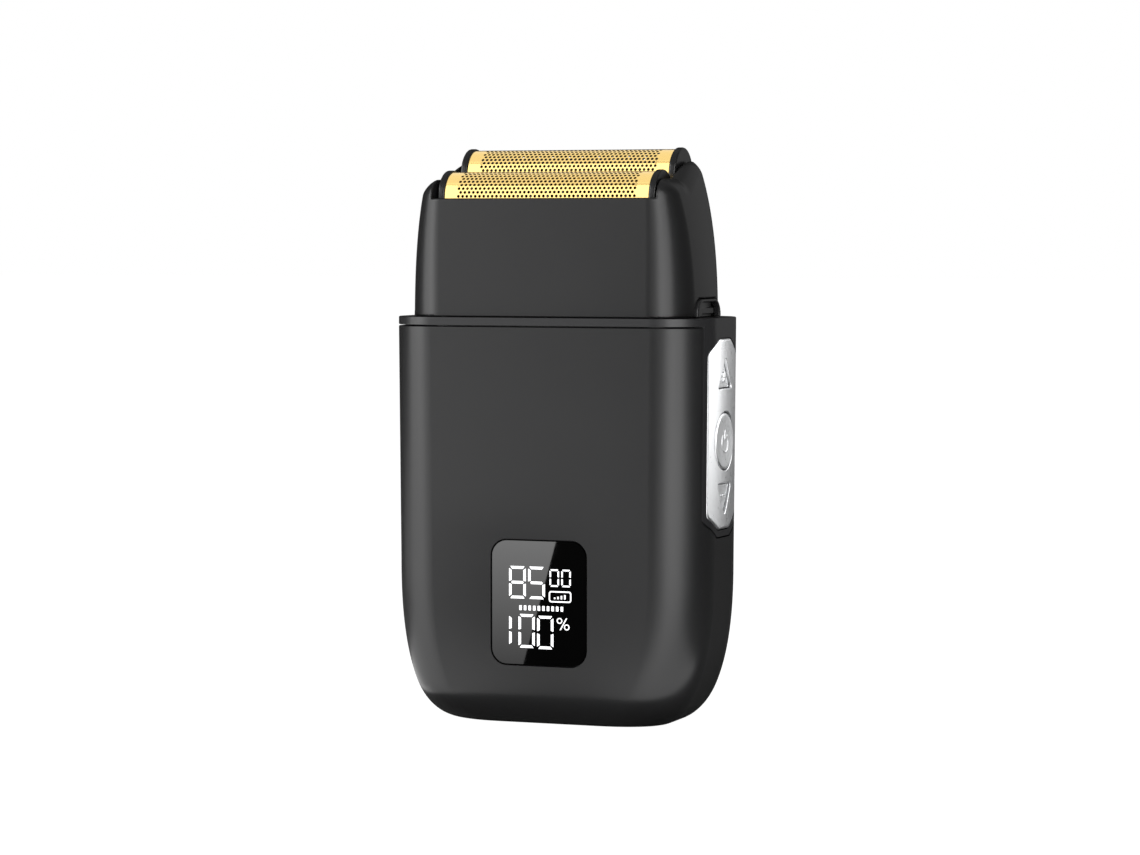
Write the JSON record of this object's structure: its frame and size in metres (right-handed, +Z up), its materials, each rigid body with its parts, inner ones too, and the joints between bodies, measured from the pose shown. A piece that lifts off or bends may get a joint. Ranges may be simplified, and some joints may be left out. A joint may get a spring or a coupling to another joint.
{
  "type": "foil shaver",
  "caption": "Cordless foil shaver: two arched foils on a lift-off head over paired oscillating cutters, a slim handle with a display window, side key strip and charging port.",
  "frame": {"origin": "centre of the bottom of the bounding box, on the flat base that the shaver stands on", "axes": "+Z up from the base to the foils, -Y out of the display face, +X out of the side with the key strip"},
  "size_m": [0.062, 0.029, 0.1062],
  "materials": {
    "shell_plastic": "fine soft-touch matte",
    "frame_plastic": "satin dark grey",
    "head_plastic": "fine matte",
    "cassette_plastic": "semi-gloss black",
    "inner_plastic": "moulded matte",
    "satin_chrome": "satin plated",
    "gold_foil": "bright gold coated, perforated",
    "display_window": "glossy smoked window",
    "display_black": "satin black",
    "circuit_board": "green solder mask",
    "screw_steel": "zinc plated",
    "spring_steel": "drawn wire",
    "port_steel": "satin",
    "motor_steel": "plated",
    "cutter_steel": "ground",
    "cell_wrap": "shrink film",
    "drive_plastic": "natural acetal",
    "seal_rubber": "matte"
  },
  "bodies": {
    "handle": {"housing": "shell_plastic", "top_frame": "frame_plastic", "key_strip": "satin_chrome", "key_board": "circuit_board", "key_board_screw_top": "screw_steel", "key_board_screw_bottom": "screw_steel", "display_lens": "display_window", "display_module": "display_black", "main_board": "circuit_board", "main_board_screw_left": "screw_steel", "main_board_screw_right": "screw_steel", "usb_port": "port_steel", "usb_board": "circuit_board", "usb_board_screw_left": "screw_steel", "usb_board_screw_right": "screw_steel", "battery": "cell_wrap", "battery_cradle": "inner_plastic", "motor": "motor_steel", "motor_bracket": "motor_steel", "motor_screw_left": "screw_steel", "motor_screw_right": "screw_steel", "bracket_screw_left": "screw_steel", "bracket_screw_right": "screw_steel", "frame_screw_left_front": "screw_steel", "frame_screw_left_rear": "screw_steel", "frame_screw_right_front": "screw_steel", "frame_screw_right_rear": "screw_steel", "guide_plate": "drive_plastic", "front_driver_seal": "seal_rubber", "rear_driver_seal": "seal_rubber"},
    "rotor": {"motor_shaft": "motor_steel", "eccentric": "drive_plastic"},
    "front_drive": {"front_driver": "drive_plastic", "front_cutter_spring": "spring_steel"},
    "rear_drive": {"rear_driver": "drive_plastic", "rear_cutter_spring": "spring_steel"},
    "front_cutter_unit": {"front_cutter": "cutter_steel"},
    "rear_cutter_unit": {"rear_cutter": "cutter_steel"},
    "head": {"head_cover": "head_plastic", "front_foil_spring_left": "spring_steel", "front_foil_spring_right": "spring_steel", "rear_foil_spring_left": "spring_steel", "rear_foil_spring_right": "spring_steel"},
    "front_foil_unit": {"front_foil": "gold_foil", "front_cassette": "cassette_plastic"},
    "rear_foil_unit": {"rear_foil": "gold_foil", "rear_cassette": "cassette_plastic"},
    "power_button": {"power_key": "satin_chrome"},
    "up_button": {"up_key": "satin_chrome"},
    "down_button": {"down_key": "satin_chrome"},
    "left_release": {"release_button_left": "head_plastic"},
    "right_release": {"release_button_right": "head_plastic"}
  },
  "joints": [
    {"name": "rotor_spin", "type": "hinge", "parent": "handle", "child": "rotor", "pos_m": [0, 0, 0.07], "axis": [0, 0, 1], "continuous": true},
    {"name": "front_drive_slide", "type": "slide", "parent": "handle", "child": "front_drive", "axis": [1, 0, 0], "range_m": [-0.0007, 0.0007], "stiffness_N_per_m": 400},
    {"name": "rear_drive_slide", "type": "slide", "parent": "handle", "child": "rear_drive", "axis": [1, 0, 0], "range_m": [-0.0007, 0.0007], "stiffness_N_per_m": 400},
    {"name": "head_lift", "type": "slide", "parent": "handle", "child": "head", "axis": [0, 0, 1], "range_m": [0, 0.036]},
    {"name": "front_foil_float", "type": "slide", "parent": "head", "child": "front_foil_unit", "axis": [0, 0, -1], "range_m": [0, 0.0015], "stiffness_N_per_m": 500, "springref_m": -0.0006, "deforming": ["front_foil_spring_left", "front_foil_spring_right"]},
    {"name": "rear_foil_float", "type": "slide", "parent": "head", "child": "rear_foil_unit", "axis": [0, 0, -1], "range_m": [0, 0.0015], "stiffness_N_per_m": 500, "springref_m": -0.0006, "deforming": ["rear_foil_spring_left", "rear_foil_spring_right"]},
    {"name": "front_cutter_float", "type": "slide", "parent": "front_drive", "child": "front_cutter_unit", "axis": [0, 0, -1], "range_m": [0, 0.0015], "stiffness_N_per_m": 250, "springref_m": -0.0006, "deforming": ["front_cutter_spring"]},
    {"name": "rear_cutter_float", "type": "slide", "parent": "rear_drive", "child": "rear_cutter_unit", "axis": [0, 0, -1], "range_m": [0, 0.0015], "stiffness_N_per_m": 250, "springref_m": -0.0006, "deforming": ["rear_cutter_spring"]},
    {"name": "power_press", "type": "slide", "parent": "handle", "child": "power_button", "axis": [-1, 0, 0], "range_m": [0, 0.0005], "stiffness_N_per_m": 1200, "springref_m": -0.0003},
    {"name": "up_press", "type": "slide", "parent": "handle", "child": "up_button", "axis": [-1, 0, 0], "range_m": [0, 0.0005], "stiffness_N_per_m": 1200, "springref_m": -0.0003},
    {"name": "down_press", "type": "slide", "parent": "handle", "child": "down_button", "axis": [-1, 0, 0], "range_m": [0, 0.0005], "stiffness_N_per_m": 1200, "springref_m": -0.0003},
    {"name": "left_release_press", "type": "slide", "parent": "handle", "child": "left_release", "axis": [1, 0, 0], "range_m": [0, 0.001], "stiffness_N_per_m": 800, "springref_m": -0.0004},
    {"name": "right_release_press", "type": "slide", "parent": "handle", "child": "right_release", "axis": [-1, 0, 0], "range_m": [0, 0.001], "stiffness_N_per_m": 800, "springref_m": -0.0004}
  ],
  "couplings": [
    {"joint": "rear_drive_slide", "follows": "front_drive_slide", "ratio": -1},
    {"joint": "front_cutter_float", "follows": "front_foil_float", "ratio": 1},
    {"joint": "rear_cutter_float", "follows": "rear_foil_float", "ratio": 1}
  ]
}
